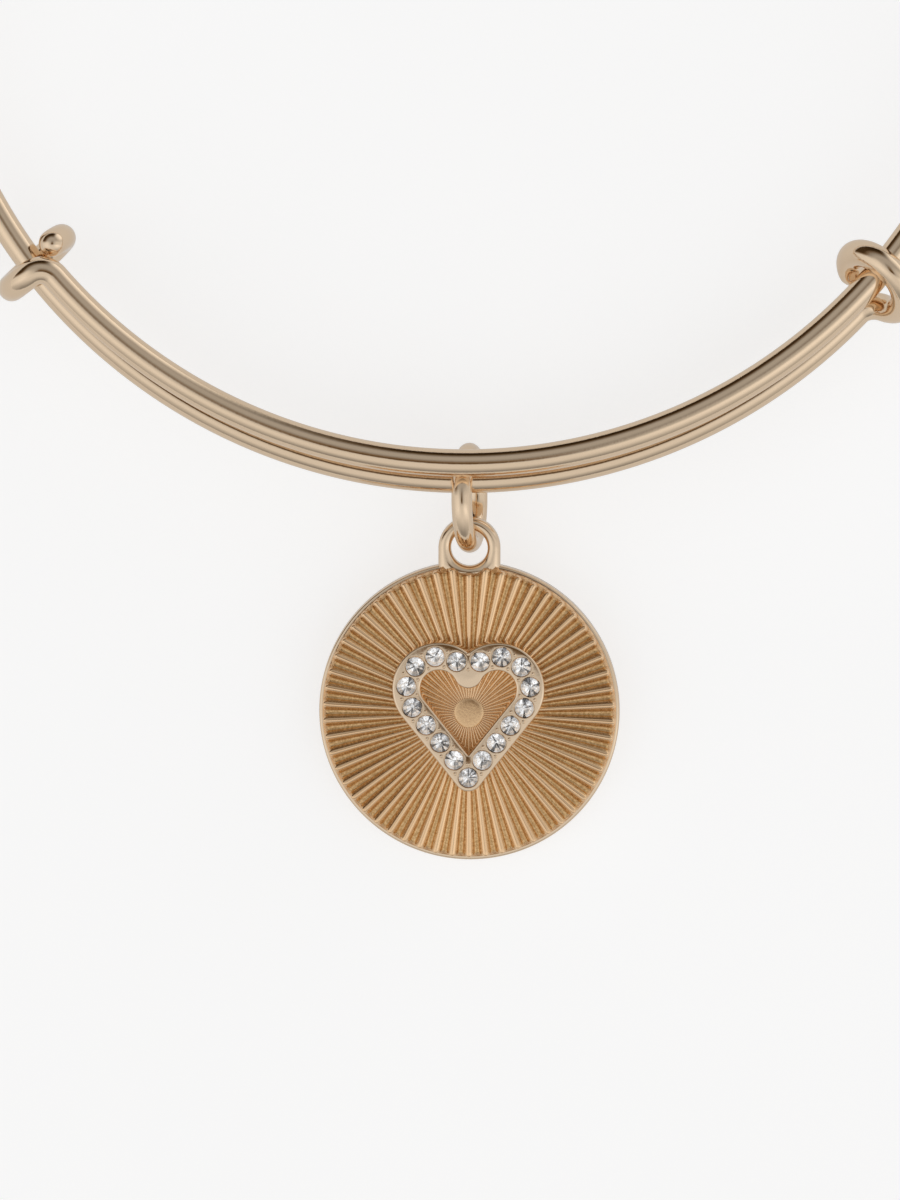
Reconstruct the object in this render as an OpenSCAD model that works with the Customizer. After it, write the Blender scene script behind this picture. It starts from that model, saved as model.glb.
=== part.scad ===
// Expandable wire bangle lying on its side, with a jump ring and a round sunburst charm.
// Millimetres. The floor is z = 0, the bangle's axis is near +Z and the charm is at -Y.
// One round wire runs along the front strand, round the back, along the rear strand, and
// each of its two ends is hooked round the other strand, so the bangle can be drawn open.

/* [Bangle wire] */
// Diameter of the wire
wire_d = 1.6; // [1.5:0.05:1.7]
// Radius of the bangle, to the middle of the wire
ring_r = 31.2; // [28:0.2:34]
// Extra half-width of the bangle from side to side
oval = 0.2; // [0:0.05:0.5]
// How far the rear strand stands outside the front strand at the middle of the front
strand_shift = 0.93; // [0.8:0.01:1]
// Flat sides of the modelled wire
wire_sides = 12; // [10:2:14]
// Angle between two cross-sections of the wire along the bangle
arc_step = 3; // [2.5:0.5:4]

/* [Hooked ends] */
// Radius of each hook, to the middle of the wire
hook_r = 2.05; // [2:0.05:2.3]
// Radius of the bend where a strand turns into its hook
hook_bend = 1.05; // [1:0.05:1.4]
// Place where the front strand turns into the left hook, in degrees from the front's middle
left_at = 49.8; // [44:0.2:54]
// How far round its strand the left hook goes, in degrees
left_end = 316; // [296:2:316]
// Rise of the left hook along its strand, in degrees
left_pitch = 3; // [2.5:0.5:5]
// Place where the rear strand turns into the right hook, in degrees from the front's middle
right_at = 45.8; // [42:0.2:52]
// How far round its strand the right hook goes, in degrees
right_end = 316; // [296:2:320]
// Rise of the right hook along its strand, in degrees
right_pitch = 1; // [0.5:0.5:3]
// How far the right hook leans along its strand, in degrees
right_lean = 28; // [20:1:32]

/* [Jump ring] */
// Diameter of the jump ring's wire
link_d = 1.2; // [1.1:0.05:1.25]
// Radius of the jump ring, to the middle of its wire
link_r = 2.6; // [2.5:0.01:2.8]
// How far the jump ring leans to the left, in degrees
link_lean = 10; // [3:1:12]
// Distance of the jump ring to the right of the front's middle
link_x = 0.25; // [-1:0.05:1]

/* [Charm] */
// Diameter of the disc
disc_d = 17.46; // [16:0.02:19]
// Thickness of the disc's plain base
base_t = 0.9; // [0.8:0.05:1.2]
// Diameter of the pleated face
face_d = 17; // [15.6:0.05:17.2]
// Thickness of the pleated face above the base
face_t = 0.7; // [0.6:0.05:0.9]
// Number of pleats
pleats = 54; // [48:2:60]
// Depth of the pleats at the rim
pleat_depth = 0.25; // [0.15:0.05:0.45]
// Share of each pleat that is groove
pleat_open = 0.7; // [0.5:0.05:0.8]
// Diameter of the plain hub in the middle of the pleats
hub_d = 1.75; // [1.4:0.05:2]
// How far the hub stands above the pleats
hub_h = 0.06; // [0.04:0.02:0.12]
// Diameter of the hole in the bail
bail_hole_d = 2.12; // [2.1:0.02:2.4]
// Width of the bail's band round its hole
bail_band = 0.74; // [0.6:0.02:0.8]
// Width of the plain rim left between the bail's hole and the disc
bail_rim = 0.2; // [0.16:0.02:0.28]
// Thickness of the bail
bail_t = 1.1; // [0.9:0.05:1.1]
// Distance from the disc's centre to the centre of the bail's hole
bail_at = 9.57; // [9.5:0.01:9.7]
// How far the disc's right side is raised, in degrees
charm_roll = 2; // [0:0.5:3]

/* [Heart] */
// Height of the raised heart above the pleated face
heart_h = 1.0; // [0.8:0.05:1.2]
// Width of the heart's outline
heart_w = 1.7; // [1.6:0.05:1.8]
// Radius of the heart's lobes, to the middle of the outline
lobe_r = 1.9; // [1.8:0.02:2]
// Distance of each lobe's centre from the middle line
lobe_x = 1.7; // [1.6:0.02:1.8]
// Height of the lobes' centres above the disc's centre
lobe_y = 1.55; // [1.4:0.05:1.7]
// Height of the heart's point, negative below the disc's centre
tip_y = -3.65; // [-3.8:0.05:-3.5]
// Distance of the topmost stones from the middle line
top_stone_x = 0.68; // [0.66:0.01:0.72]

/* [Stones] */
// Diameter of each stone
stone_d = 1.1; // [1:0.02:1.14]
// Diameter of each stone's flat table
table_d = 0.62; // [0.5:0.02:0.7]
// Height of the crown above the girdle
crown_h = 0.17; // [0.12:0.01:0.2]
// Height of the girdle
girdle_h = 0.06; // [0.05:0.01:0.08]
// Depth of the stone below the girdle
pavilion_h = 0.36; // [0.3:0.01:0.4]
// Depth of the girdle's lower edge below the heart's face
stone_sink = 0.08; // [0.06:0.01:0.12]

/* [Gaps] */
// Gap between the loose pieces where they hang on each other
hang_gap = 0.08; // [0.06:0.01:0.12]
// Gap between the jump ring and the bail that hangs on it
bail_gap = 0.18; // [0.16:0.01:0.22]
// Gap between the jump ring and the front strand that it passes under
pass_gap = 0.14; // [0.12:0.01:0.2]
// Gap between a stone and its seat
seat_gap = 0.03; // [0.02:0.005:0.04]

/* [Hidden] */
$fn = 96;

gold = [0.80, 0.64, 0.44];
crystal = [0.86, 0.90, 0.95];

wire_r = wire_d / 2;
link_wire_r = link_d / 2;

// How far inside the front strand, or outside the rear one, each hook's centre line starts.
left_start = 8;
right_start = 12;

// The strands' height above and below the middle plane. At a hook, the strand that it holds
// runs through its middle. At the front's middle, the jump ring passes between the strands.
right_rise = hook_r * cos(right_lean) * cos(right_start) / 2;
left_rise = hook_r * cos(left_start) / 2;
link_room = link_r - link_wire_r - wire_r - hang_gap;
link_drop = 18;
link_in = link_room * cos(link_drop);
link_down = link_room * sin(link_drop);
link_reach = link_r + link_wire_r + wire_r + pass_gap;
mid_rise = (sqrt(pow(link_reach, 2) - pow(link_in + strand_shift, 2)) - link_down) / 2;

back_span = 360 - left_at - right_at;

function rise(a) = a < 0
    ? left_rise + (mid_rise - left_rise) * (1 + cos(180 * a / left_at)) / 2
    : right_rise + (mid_rise - right_rise) * (1 + cos(180 * a / right_at)) / 2;

// A point of the bangle at angle a from the front's middle. The side runs from -1 on the
// front strand to 1 on the rear one.
function at(a, side, h) = let (r = ring_r + side * strand_shift / 2 * cos(a))
    [(r + oval) * sin(a), -r * cos(a), h];
function front(a) = at(a, -1, rise(a));
function rear(a) = at(a, 1, -rise(a));
function back(a) = let (side = -cos(180 * (a - right_at) / back_span))
    at(a, side, (right_rise - left_rise) / 2 - side * (right_rise + left_rise) / 2);

// A hook is a bend and then a coil on a tube round the strand that it holds. The way is -1
// for the left hook, which starts on top, and 1 for the right one, which starts below.
function on_tube(a, from, way, start, lean, along, round_mm) =
    let (
        out = [sin(a), -cos(a), 0],
        ahead = [cos(a), sin(a), 0],
        tall = hook_r * cos(lean),
        turn = start + round_mm / hook_r * 180 / PI,
        h0 = -way * tall * cos(start),
        h = -way * tall * cos(turn)
    )
    from + ahead * (way * along + tan(lean) * (h - h0))
        + out * hook_r * (sin(turn) - sin(start)) + [0, 0, h - h0];
function hook(a, from, way, start, end, pitch, lean) =
    let (
        hook_turn = 90 - pitch,
        along0 = hook_bend * sin(hook_turn),
        round0 = hook_bend * (1 - cos(hook_turn)),
        round1 = hook_r * (end - start) * PI / 180,
        steps = ceil((round1 - round0) / hook_r * 180 / PI / 12)
    )
    concat(
        [for (i = [1:5]) let (b = hook_turn * i / 5)
            on_tube(a, from, way, start, lean, hook_bend * sin(b), hook_bend * (1 - cos(b)))],
        [for (i = [1:steps]) let (u = (round1 - round0) * i / steps)
            on_tube(a, from, way, start, lean, along0 + u * tan(pitch), round0 + u)]
    );
function reversed(v) = [for (i = [len(v) - 1:-1:0]) v[i]];
function arc(a0, a1) = let (n = ceil((a1 - a0) / arc_step)) [for (i = [0:n]) a0 + (a1 - a0) * i / n];
function tail(v) = [for (i = [1:len(v) - 1]) v[i]];

course = concat(
    reversed(hook(-left_at, front(-left_at), -1, -left_start, left_end, left_pitch, 0)),
    [for (a = arc(-left_at, right_at)) front(a)],
    [for (a = tail(arc(right_at, 360 - left_at))) back(a)],
    [for (a = tail(arc(-left_at, right_at))) rear(a)],
    hook(right_at, rear(right_at), 1, right_start, right_end, right_pitch, right_lean)
);

// The jump ring's centre, hanging on the rear strand.
link_at = rear(0) + [link_x, -link_in, -link_down];
link_low = link_r * cos(link_lean) + link_wire_r;

// The bangle lies on the jump ring and on the wire at its back, which the floor touches.
back_z = (right_rise - left_rise) / 2;
slope_x = (right_rise + left_rise) / 2 * PI / (back_span * PI / 180) / ring_r;
slope_y = (back_z - wire_r - link_at.z + link_low + slope_x * link_at.x) / (ring_r - link_at.y);
floor_z = back_z - wire_r - slope_y * ring_r;
function lie(p) = [p.x, p.y, p.z - floor_z - slope_x * p.x - slope_y * p.y];
laid = [for (p = course) lie(p)];

// Directions along the wire, and cross-sections carried along it without twist.
function unit(v) = v / norm(v);
last = len(laid) - 1;
way_at = [for (i = [0:last]) unit(laid[min(i + 1, last)] - laid[max(i - 1, 0)])];
function carried(v, t) = unit(v - t * (v * t));
side_at = [for (i = 0, v = carried([0, 0, 1], way_at[0]); i <= last;
    i = i + 1, v = carried(v, way_at[min(i, last)])) v];
function section(c, t, v, r) = let (w = cross(t, v))
    [for (k = [0:wire_sides - 1]) let (b = 360 * k / wire_sides) c + r * (cos(b) * v + sin(b) * w)];
function dome(i, sgn, b) =
    section(laid[i] + sgn * wire_r * sin(b) * way_at[i], way_at[i], side_at[i], wire_r * cos(b));
tip_steps = [20, 40, 60, 78];
sections = concat(
    [for (b = reversed(tip_steps)) dome(0, -1, b)],
    [for (i = [0:last]) section(laid[i], way_at[i], side_at[i], wire_r)],
    [for (b = tip_steps) dome(last, 1, b)]
);
skin = [for (s = sections) each s];

// Where the whole piece is set down, with the middle of its outline over the origin.
settle = -min(min([for (p = skin) p.z]), 0);
link_z = lie(link_at).z + settle;

// The charm hangs by its bail on the jump ring, and its far rim lies on the floor.
bail_mid = bail_t / 2;
function drop(tilt) = bail_at * sin(tilt) + bail_mid * cos(tilt) * cos(charm_roll)
    + disc_d / 2 * sqrt(pow(sin(tilt), 2) + pow(sin(charm_roll) * cos(tilt), 2));
function halved(lo, hi, n) = let (m = (lo + hi) / 2)
    n == 0 ? m : drop(m) < link_z ? halved(m, hi, n - 1) : halved(lo, m, n - 1);
charm_tilt = halved(0, 30, 30);
bail_y = link_at.y - link_r + link_wire_r + bail_gap - bail_hole_d / 2;
disc_y = bail_y - bail_at * cos(charm_tilt) + bail_mid * sin(charm_tilt);
low_y = disc_y - disc_d / 2 * cos(charm_tilt) - base_t * sin(charm_tilt) * cos(charm_roll);

centre = [
    (min([for (p = skin) p.x]) + max([for (p = skin) p.x])) / 2,
    (low_y + max([for (p = skin) p.y])) / 2,
    0
];

// The heart's outline: a straight side from the point, then an arc over the lobe, which meets
// the other lobe's arc on the middle line.
face_z = base_t + face_t;
heart_z = face_z + heart_h;
tip_to_lobe = norm([lobe_x, lobe_y - tip_y]);
side_mm = sqrt(pow(tip_to_lobe, 2) - pow(lobe_r, 2));
side_turn = atan2(lobe_y - tip_y, lobe_x) - asin(lobe_r / tip_to_lobe);
arc_from = side_turn - 90;
arc_to = 180 - acos(lobe_x / lobe_r);
notch_y = lobe_y + lobe_r * sin(arc_to);
// The round web that joins the lobes is a little wider than the outline, so it crosses both.
web_r = heart_w / 2 + 0.03;
stone_to = 180 - acos((lobe_x - top_stone_x) / lobe_r);
stone_arc_mm = lobe_r * (stone_to - arc_from) * PI / 180;
per_side = 8;
stone_step = (side_mm + stone_arc_mm) / per_side;
function outline(s) = s < side_mm
    ? [s * cos(side_turn), tip_y + s * sin(side_turn)]
    : let (b = arc_from + (s - side_mm) / lobe_r * 180 / PI)
        [lobe_x + lobe_r * cos(b), lobe_y + lobe_r * sin(b)];
// Stone 1 is at the point, 2 to 9 climb the right side and 10 to 17 the left side.
stone_spots = concat(
    [outline(0)],
    [for (k = [1:per_side]) outline(k * stone_step)],
    [for (k = [1:per_side]) let (p = outline(k * stone_step)) [-p.x, p.y]]
);

module set_down() {
    translate(-centre) children();
}

module on_charm() {
    set_down()
        translate([link_at.x, bail_y, link_z])
            rotate([charm_tilt, 0, 0])
                rotate([0, -charm_roll, 0])
                    translate([0, -bail_at, -bail_mid])
                        children();
}

// The whole bangle wire, swept along its course with rounded tips.
module bangle_wire() {
    n = wire_sides;
    rows = len(sections);
    color(gold)
        set_down()
            translate([0, 0, settle])
                polyhedron(
                    points = skin,
                    faces = concat(
                        [for (i = [0:rows - 2], k = [0:n - 1]) let (m = (k + 1) % n)
                            [i * n + k, (i + 1) * n + k, i * n + m]],
                        [for (i = [0:rows - 2], k = [0:n - 1]) let (m = (k + 1) % n)
                            [i * n + m, (i + 1) * n + k, (i + 1) * n + m]],
                        [[for (k = [0:n - 1]) k]],
                        [[for (k = [n - 1:-1:0]) (rows - 1) * n + k]]
                    )
                );
}

// The closed jump ring that carries the charm.
module jump_ring() {
    color(gold)
        set_down()
            translate([link_at.x, link_at.y, link_z])
                rotate([0, 90 - link_lean, 0])
                    rotate_extrude()
                        translate([link_r, 0])
                            circle(d = link_d);
}

// The sunburst: a slab whose grooves are deeper and wider towards the rim, and a plain hub.
// Round the rim, each pleat has the two edges of its ridge and then the bottom of its groove.
module pleated_face() {
    low = base_t / 2;
    start = hub_d / 4;
    groove_w = pleat_open * 360 / pleats;
    function bearing(i) = 90 + 360 * i / pleats;
    function round_at(r, a, z) = [r * cos(a), r * sin(a), z];
    inner = [for (i = [0:pleats - 1]) round_at(start, bearing(i + 0.5), face_z)];
    outer = [for (i = [0:pleats - 1]) each [
        round_at(face_d / 2, bearing(i + 0.5) - groove_w / 2, face_z),
        round_at(face_d / 2, bearing(i + 0.5), face_z - pleat_depth),
        round_at(face_d / 2, bearing(i + 0.5) + groove_w / 2, face_z)
    ]];
    below = [for (p = outer) [p.x, p.y, low]];
    n = pleats;
    m = 3 * pleats;
    polyhedron(
        points = concat(inner, outer, below),
        faces = concat(
            [[for (i = [n - 1:-1:0]) i]],
            [for (i = [0:n - 1]) [i, n + 3 * i + 1, n + 3 * i]],
            [for (i = [0:n - 1]) [i, n + 3 * i + 2, n + 3 * i + 1]],
            [for (i = [0:n - 1]) [i, (i + 1) % n, n + 3 * ((i + 1) % n), n + 3 * i + 2]],
            [for (k = [0:m - 1]) [n + k, n + (k + 1) % m, n + m + (k + 1) % m, n + m + k]],
            [[for (k = [0:m - 1]) n + m + k]]
        )
    );
    translate([0, 0, low])
        cylinder(h = face_z + hub_h - low, d = hub_d);
}

module heart_side() {
    intersection() {
        union() {
            translate([0, tip_y])
                rotate(side_turn)
                    translate([0, -heart_w / 2])
                        square([side_mm, heart_w]);
            translate([lobe_x, lobe_y])
                intersection() {
                    difference() {
                        circle(r = lobe_r + heart_w / 2);
                        circle(r = lobe_r - heart_w / 2);
                    }
                    polygon(concat([[0, 0]],
                        [for (i = [0:8]) let (b = arc_from + (arc_to - arc_from) * i / 8)
                            8 * [cos(b), sin(b)]]));
                }
            translate([0, tip_y])
                circle(d = heart_w);
            translate([0, notch_y])
                circle(r = web_r);
        }
        translate([0, -10])
            square([20, 20]);
    }
}

// The raised heart, with a seat for each stone.
module heart() {
    seat_h = stone_sink + pavilion_h + seat_gap;
    difference() {
        translate([0, 0, base_t])
            linear_extrude(heart_z - base_t) {
                heart_side();
                mirror([1, 0])
                    heart_side();
            }
        for (p = stone_spots)
            translate([p.x, p.y, heart_z - seat_h])
                cylinder(h = seat_h + 1, r = stone_d / 2 + seat_gap);
    }
}

module bail() {
    translate([0, bail_at, bail_mid])
        rotate_extrude()
            translate([bail_hole_d / 2 + bail_band / 2, 0]) {
                square([bail_band, bail_t - bail_band], center = true);
                for (s = [-1, 1])
                    translate([0, s * (bail_t - bail_band) / 2])
                        circle(d = bail_band);
            }
}

// The cast charm: base, pleated face, raised heart and the bail.
module charm_disc() {
    color(gold)
        on_charm() {
            difference() {
                union() {
                    cylinder(h = base_t, d = disc_d);
                    pleated_face();
                }
                translate([0, bail_at, -1])
                    cylinder(h = 5, r = bail_hole_d / 2 + bail_rim);
            }
            bail();
            heart();
        }
}

// One round cut stone with a flat table, eight stars, sixteen crown facets and a pavilion.
module stone(i) {
    top = heart_z - stone_sink + girdle_h;
    girdle = [for (k = [0:15]) let (b = 22.5 * k) stone_d / 2 * [cos(b), sin(b)]];
    table = [for (k = [0:7]) let (b = 45 * k + 22.5) table_d / 2 * [cos(b), sin(b)]];
    pts = concat(
        [for (p = table) [p.x, p.y, top + crown_h]],
        [for (p = girdle) [p.x, p.y, top]],
        [for (p = girdle) [p.x, p.y, top - girdle_h]],
        [[0, 0, top - girdle_h - pavilion_h]]
    );
    color(crystal)
        on_charm()
            translate([stone_spots[i].x, stone_spots[i].y, 0])
                polyhedron(
                    points = pts,
                    faces = concat(
                        [[7, 6, 5, 4, 3, 2, 1, 0]],
                        [for (k = [0:7]) [k, (k + 1) % 8, 8 + (2 * k + 2) % 16]],
                        [for (k = [0:7]) [k, 8 + 2 * k + 1, 8 + 2 * k]],
                        [for (k = [0:7]) [k, 8 + (2 * k + 2) % 16, 8 + 2 * k + 1]],
                        [for (k = [0:15]) [8 + k, 8 + (k + 1) % 16, 24 + (k + 1) % 16]],
                        [for (k = [0:15]) [8 + k, 24 + (k + 1) % 16, 24 + k]],
                        [for (k = [0:15]) [24 + k, 24 + (k + 1) % 16, 40]]
                    )
                );
}
module stone_01() {
    stone(0);
}
module stone_02() {
    stone(1);
}
module stone_03() {
    stone(2);
}
module stone_04() {
    stone(3);
}
module stone_05() {
    stone(4);
}
module stone_06() {
    stone(5);
}
module stone_07() {
    stone(6);
}
module stone_08() {
    stone(7);
}
module stone_09() {
    stone(8);
}
module stone_10() {
    stone(9);
}
module stone_11() {
    stone(10);
}
module stone_12() {
    stone(11);
}
module stone_13() {
    stone(12);
}
module stone_14() {
    stone(13);
}
module stone_15() {
    stone(14);
}
module stone_16() {
    stone(15);
}
module stone_17() {
    stone(16);
}

bangle_wire();
jump_ring();
charm_disc();
stone_01();
stone_02();
stone_03();
stone_04();
stone_05();
stone_06();
stone_07();
stone_08();
stone_09();
stone_10();
stone_11();
stone_12();
stone_13();
stone_14();
stone_15();
stone_16();
stone_17();
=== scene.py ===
"""How the charm bangle looks: a polished pale gold wire bangle lying on its side, with a jump ring
and a round sunburst charm that carries a raised heart set with seventeen crystals."""

import math

import bmesh
import bpy
import numpy as np
from mathutils import Matrix, Vector


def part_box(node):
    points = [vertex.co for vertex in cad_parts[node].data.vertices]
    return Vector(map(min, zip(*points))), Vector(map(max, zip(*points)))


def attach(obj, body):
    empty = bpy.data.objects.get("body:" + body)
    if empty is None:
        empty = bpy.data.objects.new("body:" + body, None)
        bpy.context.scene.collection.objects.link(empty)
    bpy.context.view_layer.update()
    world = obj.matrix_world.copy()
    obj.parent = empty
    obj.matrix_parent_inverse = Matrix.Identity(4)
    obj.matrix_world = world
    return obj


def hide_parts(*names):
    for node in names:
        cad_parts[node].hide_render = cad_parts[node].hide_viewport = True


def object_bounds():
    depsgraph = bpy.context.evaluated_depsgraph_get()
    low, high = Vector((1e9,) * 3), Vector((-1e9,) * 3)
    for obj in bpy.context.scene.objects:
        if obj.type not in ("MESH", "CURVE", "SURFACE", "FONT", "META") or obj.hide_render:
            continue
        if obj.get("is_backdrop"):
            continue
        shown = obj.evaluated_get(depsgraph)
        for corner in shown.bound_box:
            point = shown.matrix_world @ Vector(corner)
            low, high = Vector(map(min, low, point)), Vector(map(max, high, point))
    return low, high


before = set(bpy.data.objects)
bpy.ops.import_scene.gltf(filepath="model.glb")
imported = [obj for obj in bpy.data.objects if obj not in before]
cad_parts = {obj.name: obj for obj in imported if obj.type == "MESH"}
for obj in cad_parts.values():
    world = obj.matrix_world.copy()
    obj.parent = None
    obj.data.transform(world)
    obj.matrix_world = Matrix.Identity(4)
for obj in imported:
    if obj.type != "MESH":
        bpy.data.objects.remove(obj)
cad_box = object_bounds()


# The bangle wire.
# One round brass wire, plated pale gold and polished. Its ends overlap across the front, and
# each is bent over the other strand and coiled once round it, so that the bangle slides open.
mm = 0.001
wire_r = 0.8
ring_r = 31.2
oval = 0.2
strand_shift = 0.93
left_at, right_at = 49.8, 45.8
left_rise, mid_rise, right_rise = 1.015, 1.641, 0.885
hook_r = 2.05
hook_bend = 1.05
lie_x, lie_y = 0.0207, 0.0674


def strand(degrees, side, height):
    """Points of the bangle, where side runs from -1 on the front strand to 1 on the rear one."""
    a = np.radians(degrees)
    r = ring_r + side * strand_shift / 2 * np.cos(a)
    return np.stack([(r + oval) * np.sin(a), -r * np.cos(a), height + 0 * a], 1)


def rise(degrees):
    """How far the two strands stand above and below the middle plane, across the front."""
    end_rise = np.where(degrees < 0, left_rise, right_rise)
    end_at = np.where(degrees < 0, left_at, right_at)
    return end_rise + (mid_rise - end_rise) * (1 + np.cos(np.pi * degrees / end_at)) / 2


def hook(foot, at, way, start, end, pitch, lean):
    """The bend in which a strand leaves the bangle, and its coil round the other strand."""
    at, start, end, pitch, lean = np.radians([at, start, end, pitch, lean])
    bend = np.linspace(0, math.pi / 2 - pitch, 15)[1:]
    along = hook_bend * np.sin(bend)
    around = hook_bend * (1 - np.cos(bend))
    coil = np.linspace(0, hook_r * (end - start) - around[-1], 80)[1:]
    along = np.append(along, along[-1] + coil * math.tan(pitch))
    turn = start + np.append(around, around[-1] + coil) / hook_r
    climb = way * hook_r * math.cos(lean) * (math.cos(start) - np.cos(turn))
    ahead = np.array([math.cos(at), math.sin(at), 0])
    out = np.array([math.sin(at), -math.cos(at), 0])
    return (
        foot
        + np.outer(way * along + math.tan(lean) * climb, ahead)
        + np.outer(hook_r * (np.sin(turn) - math.sin(start)), out)
        + np.outer(climb, [0, 0, 1])
    )


def swept(path, radius, sides=32, closed=False):
    """Points and faces of a round wire along the path, with rounded ends unless it is closed."""
    ahead = np.roll(path, -1, 0) - np.roll(path, 1, 0)
    if not closed:
        ahead[0], ahead[-1] = path[1] - path[0], path[-1] - path[-2]
    ahead /= np.linalg.norm(ahead, axis=1)[:, None]
    up = np.cross(ahead[0], [0.3, 0.9, 0.1])
    turn = np.linspace(0, 2 * math.pi, sides, endpoint=False)[:, None]
    rings = []
    for point, way in zip(path, ahead):
        up = up - way * (up @ way)
        up /= np.linalg.norm(up)
        rings.append(point + radius * (np.cos(turn) * up + np.sin(turn) * np.cross(way, up)))
    if not closed:
        for end, sign in ((0, -1), (-1, 1)):
            flat = rings[end] - path[end]
            for dome in np.radians([18, 36, 54, 70, 82]):
                reach = sign * radius * math.sin(dome)
                ring = path[end] + flat * math.cos(dome) + reach * ahead[end]
                rings.insert(0 if sign < 0 else len(rings), ring)
    return tied(rings, closed)


def tied(rings, closed=False):
    """Points and faces of a skin over closed rings of points, with a face at each end."""
    count, sides = len(rings), len(rings[0])
    a, b = np.meshgrid(np.arange(count if closed else count - 1), np.arange(sides), indexing="ij")
    corner = lambda i, k: (i % count) * sides + k % sides
    faces = np.stack([corner(a, b), corner(a, b + 1), corner(a + 1, b + 1), corner(a + 1, b)], -1)
    faces = faces.reshape(-1, 4).tolist()
    if not closed:
        faces += [list(range(sides))[::-1], list(range((count - 1) * sides, count * sides))]
    return np.concatenate(rings), faces


def piece(name, points, faces, *finishes, flat_over=None, slot="gold_tone", stands_for=()):
    """One mesh object from points in millimetres. Edges over flat_over degrees stay sharp."""
    mesh = bpy.data.meshes.new(name)
    mesh.from_pydata((np.asarray(points) * mm).tolist(), [], faces)
    mesh.validate()
    mesh.polygons.foreach_set("use_smooth", [True] * len(mesh.polygons))
    if flat_over:
        mesh.set_sharp_from_angle(angle=math.radians(flat_over))
    for finish in finishes:
        mesh.materials.append(finish.material)
    made = bpy.data.objects.new(name, mesh)
    bpy.context.scene.collection.objects.link(made)
    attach(made, "root")
    if stands_for:
        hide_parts(*stands_for)
    return made


class Reading:
    """A number that varies over a surface. Sums on it add Math nodes."""

    def __init__(self, socket):
        self.socket = socket

    def maths(self, operation, *values, clamp=False):
        node = self.socket.id_data.nodes.new("ShaderNodeMath")
        node.operation = operation
        node.use_clamp = clamp
        for socket, value in zip(node.inputs, values):
            if isinstance(value, Reading):
                self.socket.id_data.links.new(value.socket, socket)
            else:
                socket.default_value = value
        return Reading(node.outputs[0])

    def __add__(self, other):
        return self.maths("ADD", self, other)

    def __radd__(self, other):
        return self.maths("ADD", other, self)

    def __sub__(self, other):
        return self.maths("SUBTRACT", self, other)

    def __rsub__(self, other):
        return self.maths("SUBTRACT", other, self)

    def __mul__(self, other):
        return self.maths("MULTIPLY", self, other)

    def __rmul__(self, other):
        return self.maths("MULTIPLY", other, self)

    def __truediv__(self, other):
        return self.maths("DIVIDE", self, other)

    def __abs__(self):
        return self.maths("ABSOLUTE", self)

    def over(self, low, high):
        """Nought up to low, one from high on, and a straight climb between them."""
        return self.maths("MULTIPLY", (self - low), 1 / (high - low), clamp=True)


class Finish:
    """A material, or the studio's light, and the nodes that describe it."""

    def __init__(self, name, tree=None):
        if tree is None:
            self.material = bpy.data.materials.new(name)
            self.material.use_nodes = True
            tree = self.material.node_tree
        self.tree = tree
        self.tree.nodes.clear()

    def node(self, kind, settings, sockets):
        node = self.tree.nodes.new(kind)
        for name, value in settings.items():
            if name == "stops":
                ramp = node.color_ramp
                while len(ramp.elements) < len(value):
                    ramp.elements.new(0.5)
                for element, (place, colour) in zip(ramp.elements, value):
                    element.position, element.color = place, colour
            else:
                setattr(node, name, value)
        for name, value in sockets.items():
            if isinstance(value, Reading):
                value = value.socket
            if isinstance(value, bpy.types.NodeSocket):
                self.tree.links.new(value, node.inputs[name])
            else:
                node.inputs[name].default_value = value
        return node

    def speckle(self, size, detail=2.0, rough=0.5):
        """Noise between 0 and 1 whose grains are that many millimetres across."""
        place = self.node("ShaderNodeTexCoord", {}, {}).outputs["Object"]
        noise = self.node(
            "ShaderNodeTexNoise",
            {},
            {"Vector": place, "Scale": 1 / (size * mm), "Detail": detail, "Roughness": rough},
        )
        return Reading(noise.outputs["Fac"])

    def blend(self, share, low, high):
        """Colour low where share is 0, and colour high where it is 1."""
        mix = self.node("ShaderNodeMix", {"data_type": "RGBA"}, {0: share, 6: low, 7: high})
        return mix.outputs[2]

    def surface(self, sockets, bump=None, height=0.00001):
        if bump is not None:
            relief = self.node("ShaderNodeBump", {}, {"Height": bump, "Distance": height})
            sockets["Normal"] = relief.outputs["Normal"]
        shader = self.node("ShaderNodeBsdfPrincipled", {}, sockets)
        self.node("ShaderNodeOutputMaterial", {}, {"Surface": shader.outputs["BSDF"]})


plated_gold = Finish("polished_pale_gold")
cloud = plated_gold.speckle(3.0)
fine = plated_gold.speckle(0.25, 4.0)
plated_gold.surface(
    {
        "Base Color": plated_gold.blend(cloud, (0.83, 0.645, 0.455, 1), (0.87, 0.68, 0.49, 1)),
        "Metallic": 1.0,
        "Roughness": 0.06 + 0.04 * cloud + 0.02 * fine,
    },
    fine,
    0.000003,
)

front_left = strand(np.array([-left_at]), -1, left_rise)[0]
rear_right = strand(np.array([right_at]), 1, -right_rise)[0]
across = np.linspace(-left_at, right_at, 190)
behind = np.linspace(right_at, 360 - left_at, 264)
side = -np.cos(np.pi * (behind - right_at) / (360 - left_at - right_at))
behind_height = (right_rise - left_rise) / 2 - side * (right_rise + left_rise) / 2
course = np.concatenate(
    [
        hook(front_left, -left_at, -1, -8, 316, 3, 0)[::-1],
        strand(across, -1, rise(across)),
        strand(behind, side, behind_height)[1:],
        strand(across, 1, -rise(across))[1:],
        hook(rear_right, right_at, 1, 12, 316, 1, 28),
    ]
)
course[:, 2] -= lie_x * course[:, 0] + lie_y * course[:, 1]
points, faces = swept(course, wire_r)
cad_low, cad_high = (np.array(corner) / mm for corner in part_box("bangle_wire"))
points[:, :2] += (cad_low + cad_high)[:2] / 2 - (points.min(0) + points.max(0))[:2] / 2
points[:, 2] += cad_low[2] - points[:, 2].min()
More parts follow.
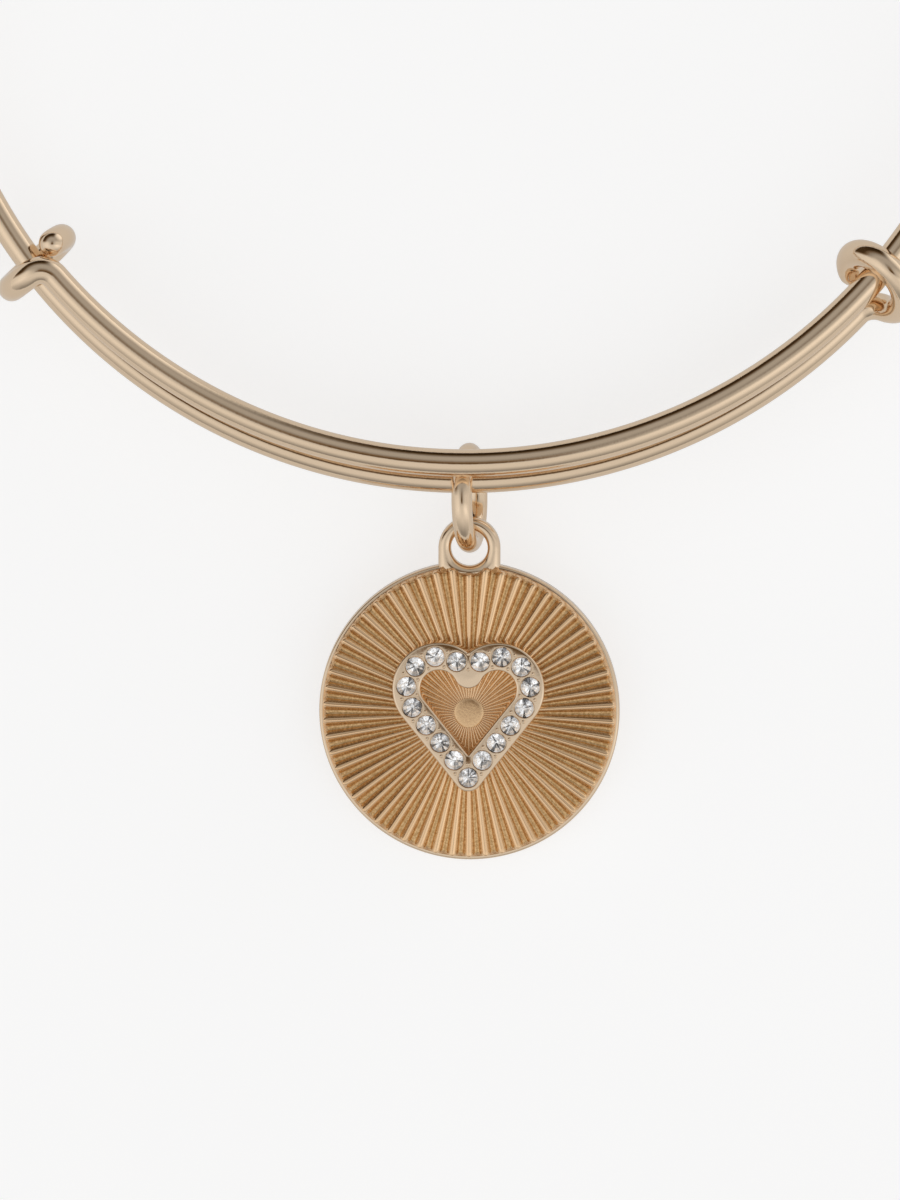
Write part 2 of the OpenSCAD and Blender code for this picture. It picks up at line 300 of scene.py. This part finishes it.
piece("bangle_wire_polished", points, faces, plated_gold, stands_for=["bangle_wire"])


# The jump ring.
# A small closed ring of the same plated wire. It hangs on the rear strand, passes under the
# front one, and carries the charm.
link_r = 2.6
link_wire_r = 0.6
link_lean = math.radians(10)

link = sum(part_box("jump_ring"), Vector()) / 2 / mm
turn = np.linspace(0, 2 * math.pi, 120, endpoint=False)
loop = np.stack([0 * turn, np.cos(turn), np.sin(turn)], 1) * link_r
leaning = np.array(Matrix.Rotation(-link_lean, 3, "Y"))
points, faces = swept(loop @ leaning.T + np.array(link), link_wire_r, 32, closed=True)
piece("jump_ring_polished", points, faces, plated_gold, stands_for=["jump_ring"])


# The charm.
# A cast brass disc with a sunburst of pleats from a plain hub to its rim, on a plain base, with
# a round bail in one with it. It is plated like the wire, and the pleats keep the mould's grain.
# The grooves and their ends are painted darker and browner than the ridges, as painted shade.
disc_r = 8.73
face_r = 8.5
base_t = 0.9
face_t = 0.7
pleats = 54
pleat_depth = 0.25
pleat_open = 0.7
hub_r = 0.875
hub_h = 0.06
bail_hole_r = 1.06
bail_band = 0.74
bail_rim = 0.2
bail_t = 1.1
bail_at = 9.57
bail_gap = 0.18
charm_roll = math.radians(2)
face_z = base_t + face_t

bail_y = link.y - link_r + link_wire_r + bail_gap - bail_hole_r


def bail_height(tilt):
    """Height of the bail's middle when the charm's far rim lies on the floor."""
    edge = math.hypot(math.sin(tilt), math.sin(charm_roll) * math.cos(tilt))
    above_back = bail_t / 2 * math.cos(tilt) * math.cos(charm_roll)
    return bail_at * math.sin(tilt) + above_back + disc_r * edge


charm_tilt = min(np.linspace(0, 0.5, 5001), key=lambda tilt: abs(bail_height(tilt) - link.z))
charm_place = (
    Matrix.Translation((link.x, bail_y, link.z))
    @ Matrix.Rotation(charm_tilt, 4, "X")
    @ Matrix.Rotation(-charm_roll, 4, "Y")
    @ Matrix.Translation((0, -bail_at, -bail_t / 2))
)


def on_charm(points):
    """Points given from the middle of the disc's back, taken to where the charm lies."""
    place = np.array(charm_place)
    return np.asarray(points) @ place[:3, :3].T + place[:3, 3]


# Each pleat's columns, from the middle of its ridge to the middle of its groove: the share of the
# ridge and of the groove that is passed, how deep the column lies, and how dull its gold is and
# how dark it is painted, as painted shade in the groove. Half way down the groove's side runs a
# fine raised line.
half_pleat = [
    (0.5, 0.0, 0.06, 0.0),
    (1.0, 0.0, 0.26, 0.1),
    (1.0, 0.2, 0.54, 0.8),
    (1.0, 0.38, 0.7, 1.0),
    (1.0, 0.5, 0.56, 0.2),
    (1.0, 0.62, 0.76, 1.0),
    (1.0, 1.0, 0.86, 1.0),
]
other_half = [(-ridge, -groove, deep, dull_and_shaded) for ridge, groove, deep, dull_and_shaded in half_pleat[-2::-1]]
one_pleat = other_half + [(0, 0, 0, 0)] + half_pleat
ridge_share, groove_share, depth, dullness = np.tile(np.array(one_pleat).T, pleats)
pleat_number = np.repeat(np.arange(pleats), len(one_pleat))
groove_start = hub_r / 2
groove_short = 0.22
end_round = 0.16
bend_r = 7


def bearings(r):
    """The bearing of each column at that distance from the middle, where the grooves widen."""
    widest = math.pi * face_r / pleats * pleat_open
    half = widest * (r - groove_start) / (face_r - groove_start) / (2 * math.pi * r / pleats)
    across = ridge_share * (0.5 - half) + groove_share * half
    return np.radians(90 + 360 / pleats * (pleat_number + across))


def disc_ring(r, z, bearing):
    """One ring of the disc's skin. Near the bail, it bends in round the bail's hole."""
    off = np.abs((np.degrees(bearing) - 90 + 180) % 360 - 180)
    notch = bail_hole_r + bail_rim
    reach = np.full(len(off), disc_r)
    near = (np.sin(np.radians(off)) < notch / bail_at) & (off < 45)
    a = np.radians(off[near])
    notch_edge = bail_at * np.cos(a) - np.sqrt(notch**2 - (bail_at * np.sin(a)) ** 2)
    reach[near] = np.minimum(disc_r, notch_edge)
    r = np.where(r > bend_r, bend_r + (r - bend_r) * (reach - bend_r) / (disc_r - bend_r), r)
    return np.stack([r * np.cos(bearing), r * np.sin(bearing), z + 0 * r], 1)


# The disc's skin, from the middle of its hub over the pleats and round the rim to its back.
rings, dulls_and_shades = [], []
hub_fall = [(0.05, 0), (0.3, 0.002), (0.55, 0.008), (0.72, 0.018), (0.82, 0.034), (hub_r, hub_h)]
for r, fall in hub_fall:
    rings.append(disc_ring(r + 0 * depth, face_z + hub_h - fall, bearings(hub_r)))
    dulls_and_shades.append(0.35 + 0 * depth)
for share in np.linspace(0, 1, 44) ** 1.15:
    r = hub_r + 0.01 + share * (face_r - end_round - hub_r - 0.01)
    run = (r - groove_start) / (face_r - groove_start)
    short = groove_short * depth**1.5 * share**6
    rings.append(disc_ring(r - short, face_z - pleat_depth * run**0.85 * depth, bearings(r)))
    dulls_and_shades.append(dullness * min(1, 0.4 + 1.2 * run))
# The grooves' rounded ends keep the grooves' painted shade, a painted shadow at each end.
for w in np.radians([15, 30, 45, 60, 75, 88]):
    top = face_z - pleat_depth * depth
    round_r = face_r - end_round * (1 - math.sin(w)) - groove_short * depth**1.5
    drop = np.minimum(end_round, top - base_t) * (1 - math.cos(w))
    rings.append(disc_ring(round_r, top - drop, bearings(face_r)))
    dulls_and_shades.append(dullness)
face_rows = len(rings)
rim = [
    (face_r + 0.01, base_t + 0.03),
    (face_r + 0.03, base_t),
    (disc_r - 0.12, base_t),
    (disc_r - 0.06, base_t - 0.03),
    (disc_r - 0.02, base_t - 0.09),
    (disc_r, base_t - 0.17),
    (disc_r, 0.15),
    (disc_r - 0.04, 0.05),
    (disc_r - 0.13, 0),
    (0.05, 0),
]
for r, z in rim:
    rings.append(disc_ring(r + 0 * depth, z, bearings(face_r)))
    dulls_and_shades.append(0 * depth)
points, faces = tied(rings)

cast_gold = Finish("cast_pale_gold")
dull_and_shade_node = cast_gold.node("ShaderNodeAttribute", {"attribute_name": "dullness"}, {})
dull_and_shade_share = Reading(dull_and_shade_node.outputs["Fac"])
grain = cast_gold.speckle(0.13, 3.0, 0.65)
cloud = cast_gold.speckle(2.5)
# The cast gold is painted darker and browner in the grooves as painted shade, with the mould's
# real grain spotted through it.
dull_and_shaded = (dull_and_shade_share * (0.5 + grain)).over(0.0, 1.0)
spots = grain.over(0.38, 0.6)
shaded_groove_gold = cast_gold.blend(spots, (0.52, 0.29, 0.105, 1), (0.82, 0.55, 0.28, 1))
cast_gold.surface(
    {
        "Base Color": cast_gold.blend(dull_and_shaded, (0.92, 0.63, 0.375, 1), shaded_groove_gold),
        "Metallic": 1.0,
        "Roughness": 0.14 + 0.16 * dull_and_shaded + 0.06 * cloud,
    },
    grain * (0.15 + 0.85 * dull_and_shade_share),
    0.000015,
)
disc = piece(
    "sunburst_disc",
    on_charm(points),
    faces,
    cast_gold,
    plated_gold,
    flat_over=50,
    stands_for=["charm_disc"],
)
# Outside the pleats, the rim and the back are polished as the wire is. The last face but one is
# the middle of the hub.
polished = np.arange(len(faces)) >= face_rows * len(depth)
polished[-2] = False
disc.data.polygons.foreach_set("material_index", polished.astype(int))
# Each point carries its dullness and the grooves' painted shade.
point_dullness_and_shade = disc.data.attributes.new("dullness", "FLOAT", "POINT")
point_dullness_and_shade.data.foreach_set("value", np.concatenate(dulls_and_shades))

# The bail is a band with rounded edges round its hole.
w = np.radians(np.arange(7.5, 360, 15))
band_out = bail_hole_r + bail_band / 2 * (1 + np.cos(w))
band_up = (bail_t + np.sign(np.sin(w)) * (bail_t - bail_band) + bail_band * np.sin(w)) / 2
rings = []
for a in np.linspace(0, 2 * math.pi, 144, endpoint=False):
    # Below its middle, the band's outer edge runs straight down into the disc.
    below = math.degrees(math.asin(max(-math.sin(a), 0)))
    straight = 1 / math.cos(math.radians(min(below, 34))) - 1
    flare = 1 + straight * min(max((80 - below) / 40, 0), 1) * (band_out - bail_hole_r) / bail_band
    r = band_out * flare
    rings.append(np.stack([r * math.cos(a), bail_at + r * math.sin(a), band_up], 1))
points, faces = tied(rings, closed=True)
piece("charm_bail", on_charm(points), faces, plated_gold)


# The heart.
# An open heart cast in one with the disc, with drafted sides and softened edges. Its flat top is
# drilled with a seat for each stone.
heart_z = face_z + 1.0
half_w = 0.85
lobe_r = 1.9
lobe_x, lobe_y = 1.7, 1.55
tip_y = -3.65
top_stone_x = 0.68
stone_r = 0.55
per_side = 8

tip_to_lobe = math.hypot(lobe_x, lobe_y - tip_y)
side_mm = math.sqrt(tip_to_lobe**2 - lobe_r**2)
side_turn = math.atan2(lobe_y - tip_y, lobe_x) - math.asin(lobe_r / tip_to_lobe)
arc_from = side_turn - math.pi / 2


def outline(s, out=0.0):
    """A point of the heart's right half, s along its middle line from the tip, out beside it."""
    if s < side_mm:
        x = s * math.cos(side_turn) + out * math.sin(side_turn)
        return np.array([x, tip_y + s * math.sin(side_turn) - out * math.cos(side_turn)])
    b = arc_from + (s - side_mm) / lobe_r
    return (lobe_x, lobe_y) + (lobe_r + out) * np.array([math.cos(b), math.sin(b)])


# The right half as pairs of an inner and an outer point: round the tip, up the side and over the
# lobe to the notch, and then round the web that joins the lobes.
inner_tip = np.array([0, tip_y + half_w / math.cos(side_turn)])
notch_b = math.pi - math.acos(lobe_x / (lobe_r + half_w))
notch_s = side_mm + lobe_r * (notch_b - arc_from)
pairs = []
for b in np.linspace(-math.pi / 2, arc_from, 14)[:-1]:
    pairs.append((inner_tip, (0, tip_y) + half_w * np.array([math.cos(b), math.sin(b)])))
for s in np.linspace(0, notch_s, 120):
    inner = outline(s, -half_w)
    pairs.append((inner if inner[0] > 0 and s > 0.2 else inner_tip, outline(s, half_w)))
notch = np.array([0, pairs[-1][1][1]])
web_b = math.pi - math.acos(lobe_x / lobe_r)
web = np.array([0, lobe_y + lobe_r * math.sin(web_b)])
for b in np.linspace(notch_b, web_b, 16)[1:]:
    inner = (lobe_x, lobe_y) + (lobe_r - half_w) * np.array([math.cos(b), math.sin(b)])
    pairs.append((inner, notch))
for b in np.linspace(web_b - math.pi, -math.pi / 2, 24)[1:]:
    pairs.append((web + half_w * np.array([math.cos(b), math.sin(b)]), notch))
pairs += [(inner * (-1, 1), outer * (-1, 1)) for inner, outer in reversed(pairs[1:-1])]

# From the disc up, each wall draws in a little to an edge of this radius.
edge, draft = 0.13, 0.03
steps = [(-0.02, 1.6), (0.02, 0.5), (draft, edge)]
for w in np.radians([22, 45, 67, 90]):
    steps.append((draft + edge * (1 - math.cos(w)), edge * (1 - math.sin(w))))
rings = []
for inner, outer in pairs:
    span = np.linalg.norm(outer - inner)
    way = (inner - outer) / span
    row = [np.append(outer + way * off, heart_z - drop) for off, drop in steps]
    row += [np.append(outer + way * span * share, heart_z) for share in (0.35, 0.5, 0.65)]
    row += [np.append(inner - way * off, heart_z - drop) for off, drop in reversed(steps)]
    rings.append(np.array(row))
points, faces = tied(rings, closed=True)

stone_arc = lobe_r * (math.pi - math.acos((lobe_x - top_stone_x) / lobe_r) - arc_from)
stone_step = (side_mm + stone_arc) / per_side
right_spots = [outline(k * stone_step) for k in range(1, per_side + 1)]
stone_spots = [outline(0)] + right_spots + [spot * (-1, 1) for spot in right_spots]

heart = piece("raised_heart", on_charm(points), faces, plated_gold)


def turned(profile, places, sides):
    """Points and faces of a turned form on the heart's face, once at each place."""
    turn = np.linspace(0, 2 * math.pi, sides, endpoint=False)
    all_points, all_faces = [], []
    for x, y in places:
        rings = [
            np.stack([x + r * np.cos(turn), y + r * np.sin(turn), heart_z + z + 0 * turn], 1)
            for r, z in profile
        ]
        points, faces = tied(rings)
        all_faces += [[k + len(all_points) * len(points) for k in face] for face in faces]
        all_points.append(points)
    return on_charm(np.concatenate(all_points)), all_faces


# Each drill cuts a seat a little wider than the stone, with a chamfer at the heart's face.
seat_r, seat_deep = stone_r + 0.05, 0.5
drill = [(0.04, -seat_deep), (seat_r, -seat_deep), (seat_r, -0.03)]
drill += [(seat_r + 0.05, 0.08), (0.04, 0.08)]
drills = piece("seat_drills", *turned(drill, stone_spots, 40))
for made in (heart, drills):
    skin = bmesh.new()
    skin.from_mesh(made.data)
    bmesh.ops.remove_doubles(skin, verts=skin.verts, dist=0.002 * mm)
    bmesh.ops.recalc_face_normals(skin, faces=skin.faces)
    skin.to_mesh(made.data)
    skin.free()
cut = heart.modifiers.new("seats", "BOOLEAN")
cut.object, cut.solver, cut.operation = drills, "EXACT", "DIFFERENCE"
drilled = heart.evaluated_get(bpy.context.evaluated_depsgraph_get())
heart.data = bpy.data.meshes.new_from_object(drilled)
heart.modifiers.clear()
bpy.data.objects.remove(drills)
heart.data.polygons.foreach_set("use_smooth", [True] * len(heart.data.polygons))
heart.data.set_sharp_from_angle(angle=math.radians(30))

# Small beads, raised from the heart's face, stand in pairs between the stones.
bead_r, bead_off = 0.11, 0.45
order = [*range(per_side, 0, -1), 0, *range(per_side + 1, 2 * per_side + 1)]
bead_spots = []
for one, other in zip(order, order[1:] + order[:1]):
    middle = (stone_spots[one] + stone_spots[other]) / 2
    way = stone_spots[other] - stone_spots[one]
    beside = np.array([-way[1], way[0]]) / np.linalg.norm(way)
    bead_spots += [middle + beside * bead_off, middle - beside * bead_off]
dome = [
    (bead_r * math.cos(w), bead_r * math.sin(w))
    for w in np.radians([-40, -10, 15, 35, 55, 72, 86])
]
piece("setting_beads", *turned(dome, bead_spots, 16), plated_gold, flat_over=60)


# The stones.
# Seventeen round cut crystals of clear glass with silver foil behind them, each with a table,
# stars, mains and halves. They are glued into their seats, one at the point and eight a side.
# Each foil facet has a painted reflection, light, grey or dark at random, and glows a little as
# painted light.
table_r = 0.31
crown_h, girdle_h, pavilion_h = 0.17, 0.06, 0.36
stone_sink = 0.08
star_r, lower_r = 0.43, 0.13


def ring_of(count, r, z, offset=0.0):
    """Points evenly round a stone, the first at that offset in degrees."""
    a = np.radians(offset + 360 / count * np.arange(count))
    return [(r * math.cos(b), r * math.sin(b), z) for b in a]


eighth = math.cos(math.radians(22.5))
girdle_top = heart_z - stone_sink + girdle_h
star_z = girdle_top + crown_h * (stone_r - star_r * eighth) / (stone_r - table_r)
lower_z = girdle_top - girdle_h - pavilion_h * (1 - lower_r * eighth / stone_r)
cut_points = ring_of(8, table_r, girdle_top + crown_h, 22.5) + ring_of(8, star_r, star_z)
cut_points += ring_of(16, stone_r, girdle_top) + ring_of(16, stone_r, girdle_top - girdle_h)
cut_points += ring_of(8, lower_r, lower_z, 22.5) + [(0, 0, girdle_top - girdle_h - pavilion_h)]
table, star, upper, lower, heel, culet = 0, 8, 16, 32, 48, 56
crown = [list(range(8))]
pavilion = []
for k in range(8):
    after, before = (k + 1) % 8, (k - 1) % 8
    crown.append([table + before, star + k, table + k])
    crown.append([table + k, star + k, upper + 2 * k + 1, star + after])
    crown.append([star + k, upper + 2 * k, upper + 2 * k + 1])
    crown.append([star + k, upper + (2 * k - 1) % 16, upper + 2 * k])
    pavilion.append([culet, heel + k, lower + 2 * k, heel + before])
    pavilion.append([heel + k, lower + 2 * k + 1, lower + 2 * k])
    pavilion.append([heel + k, lower + (2 * k + 2) % 16, lower + 2 * k + 1])
for j in range(16):
    crown.append([upper + j, lower + j, lower + (j + 1) % 16, upper + (j + 1) % 16])

clear_crystal = Finish("clear_cut_crystal")
clear_crystal.surface(
    {
        "Base Color": (1.0, 1.0, 1.0, 1),
        "Roughness": 0.01 + 0.02 * clear_crystal.speckle(0.3),
        "IOR": 1.5,
        "Transmission Weight": 1.0,
    }
)
# The foil's colour is a painted reflection on each facet, and its emission is painted light that
# makes the stones glow.
foil_with_painted_glints = Finish("foil_with_painted_glints")
painted_reflection_node = foil_with_painted_glints.node("ShaderNodeAttribute", {"attribute_name": "facet_tone"}, {})
painted_reflection = Reading(painted_reflection_node.outputs["Fac"])
foil_with_painted_glints.surface(
    {
        "Base Color": foil_with_painted_glints.blend(painted_reflection, (0.10, 0.10, 0.11, 1), (1.0, 1.0, 1.0, 1)),
        "Metallic": 1.0,
        "Roughness": 0.06 + 0.06 * foil_with_painted_glints.speckle(0.15),
        "Emission Color": foil_with_painted_glints.blend(painted_reflection, (0.0, 0.0, 0.0, 1), (1.0, 1.0, 1.0, 1)),
        "Emission Strength": 0.27,
    }
)
painted_reflection_draws = np.random.default_rng(5)
for number, (x, y) in enumerate(stone_spots):
    # Each stone was dropped into its seat at its own turn.
    spin = np.array(Matrix.Rotation(math.radians(37 * number % 45), 3, "Z"))
    points = np.array(cut_points) @ spin.T + (x, y, 0)
    name = f"crystal_{number + 1:02d}"
    stands_for = [f"stone_{number + 1:02d}"]
    stone = piece(
        name,
        on_charm(points),
        crown + pavilion,
        clear_crystal,
        foil_with_painted_glints,
        flat_over=0.5,
        slot="crystal",
        stands_for=stands_for,
    )
    backs = [0] * len(crown) + [1] * len(pavilion)
    stone.data.polygons.foreach_set("material_index", backs)
    # Each facet draws its painted reflection at random.
    painted_reflections = painted_reflection_draws.choice([0.95, 0.75, 0.5, 0.12], len(backs), p=[0.36, 0.26, 0.2, 0.18])
    face_painted_reflections = stone.data.attributes.new("facet_tone", "FLOAT", "FACE")
    face_painted_reflections.data.foreach_set("value", painted_reflections)


# The studio.
# The bangle lies on a plain pale floor, in soft light from all round. It is brighter from the
# charm's side and dimmer from behind, with a dark edge there that polished metal shows.
floor_finish = Finish("plain_pale_floor")
# The gold mirrors the floor less brightly than the camera sees it.
seen = Reading(floor_finish.node("ShaderNodeLightPath", {}, {}).outputs["Is Camera Ray"])
cloud = floor_finish.speckle(20.0)
floor_finish.surface(
    {
        "Base Color": floor_finish.blend(cloud, (0.44, 0.44, 0.44, 1), (0.46, 0.46, 0.46, 1)),
        "Roughness": 0.9,
        "Emission Color": floor_finish.blend(seen, (0.6, 0.6, 0.6, 1), (1, 1, 1, 1)),
        "Emission Strength": 0.67,
    }
)
reach = 1.5
floor_mesh = bpy.data.meshes.new("floor")
corners = [(-reach, -reach, 0), (reach, -reach, 0), (reach, reach, 0), (-reach, reach, 0)]
floor_mesh.from_pydata(corners, [], [(0, 1, 2, 3)])
floor_mesh.materials.append(floor_finish.material)
floor = bpy.data.objects.new("floor", floor_mesh)
bpy.context.scene.collection.objects.link(floor)
floor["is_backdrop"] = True

world = bpy.data.worlds.new("studio")
world.use_nodes = True
bpy.context.scene.world = world
studio = Finish("studio", world.node_tree)
way = studio.node("ShaderNodeTexCoord", {}, {}).outputs["Generated"]
parts = studio.node("ShaderNodeSeparateXYZ", {}, {"Vector": way}).outputs
x, y, z = (Reading(part) for part in parts)
width, left, ahead = abs(x), 0 - x, 0 - y
# The charm's side is brighter, with a softer edge to the left, and dims towards the floor.
leftward = left.over(0.05, 0.6)
front = ((-0.24 + 0.04 * leftward - y) / (0.2 + 0.8 * leftward)).over(-0.5, 0.5)
front = front * (0.25 + 0.75 * z.over(0.15, 0.6))
sides = 0.3 * width.over(0.15, 0.6) * (1 - y.over(0.05, 0.4)) * (1 - ahead.over(0.4, 0.7))
low = (1 - z.over(0.2, 0.7)) * (1 - width.over(0.25, 0.65))
glow = (0.43 + 0.32 * front + sides) * (1 - 0.4 * low)
# Behind stand a dark edge and, to its right, a bright one. A narrow dark line hangs overhead.
dark_edge = y.over(0.05, 0.3) * (1 - z.over(0.36, 0.74)) * (1 - x.over(0.1, 0.4))
bright_edge = y.over(0.2, 0.5) * x.over(0.25, 0.5) * (1 - z.over(0.2, 0.65))
overhead = y.over(-0.24, -0.16) * (1 - y.over(-0.1, 0.4)) * z.over(0.5, 0.6)
top_line = overhead * (1 - width.over(0.08, 0.22))
glow = glow * (1 - 0.87 * dark_edge) * (1 - 0.75 * top_line) + 0.65 * bright_edge
direct = Reading(studio.node("ShaderNodeLightPath", {}, {}).outputs["Is Camera Ray"])
glow = glow * (1 - direct) + 0.93 * direct
shade = studio.blend((dark_edge + top_line).over(0.3, 1.0), (1, 1, 1, 1), (1.0, 0.62, 0.28, 1))
light = studio.node("ShaderNodeBackground", {}, {"Color": shade, "Strength": glow})
studio.node("ShaderNodeOutputWorld", {}, {"Surface": light.outputs["Background"]})

# The camera looks straight down, over the charm and the front of the bangle.
camera = bpy.data.objects.new("camera", bpy.data.cameras.new("camera"))
camera.data.lens = 618.6
camera.data.sensor_width = 36
camera.location = (-0.00088, -0.02777, 1.2)
bpy.context.scene.collection.objects.link(camera)
bpy.context.scene.camera = camera
bpy.context.scene.view_settings.view_transform = "Standard"

boxes = {"cad": cad_box, "visual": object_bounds()}
{name: [list(corner) for corner in box] for name, box in boxes.items()}
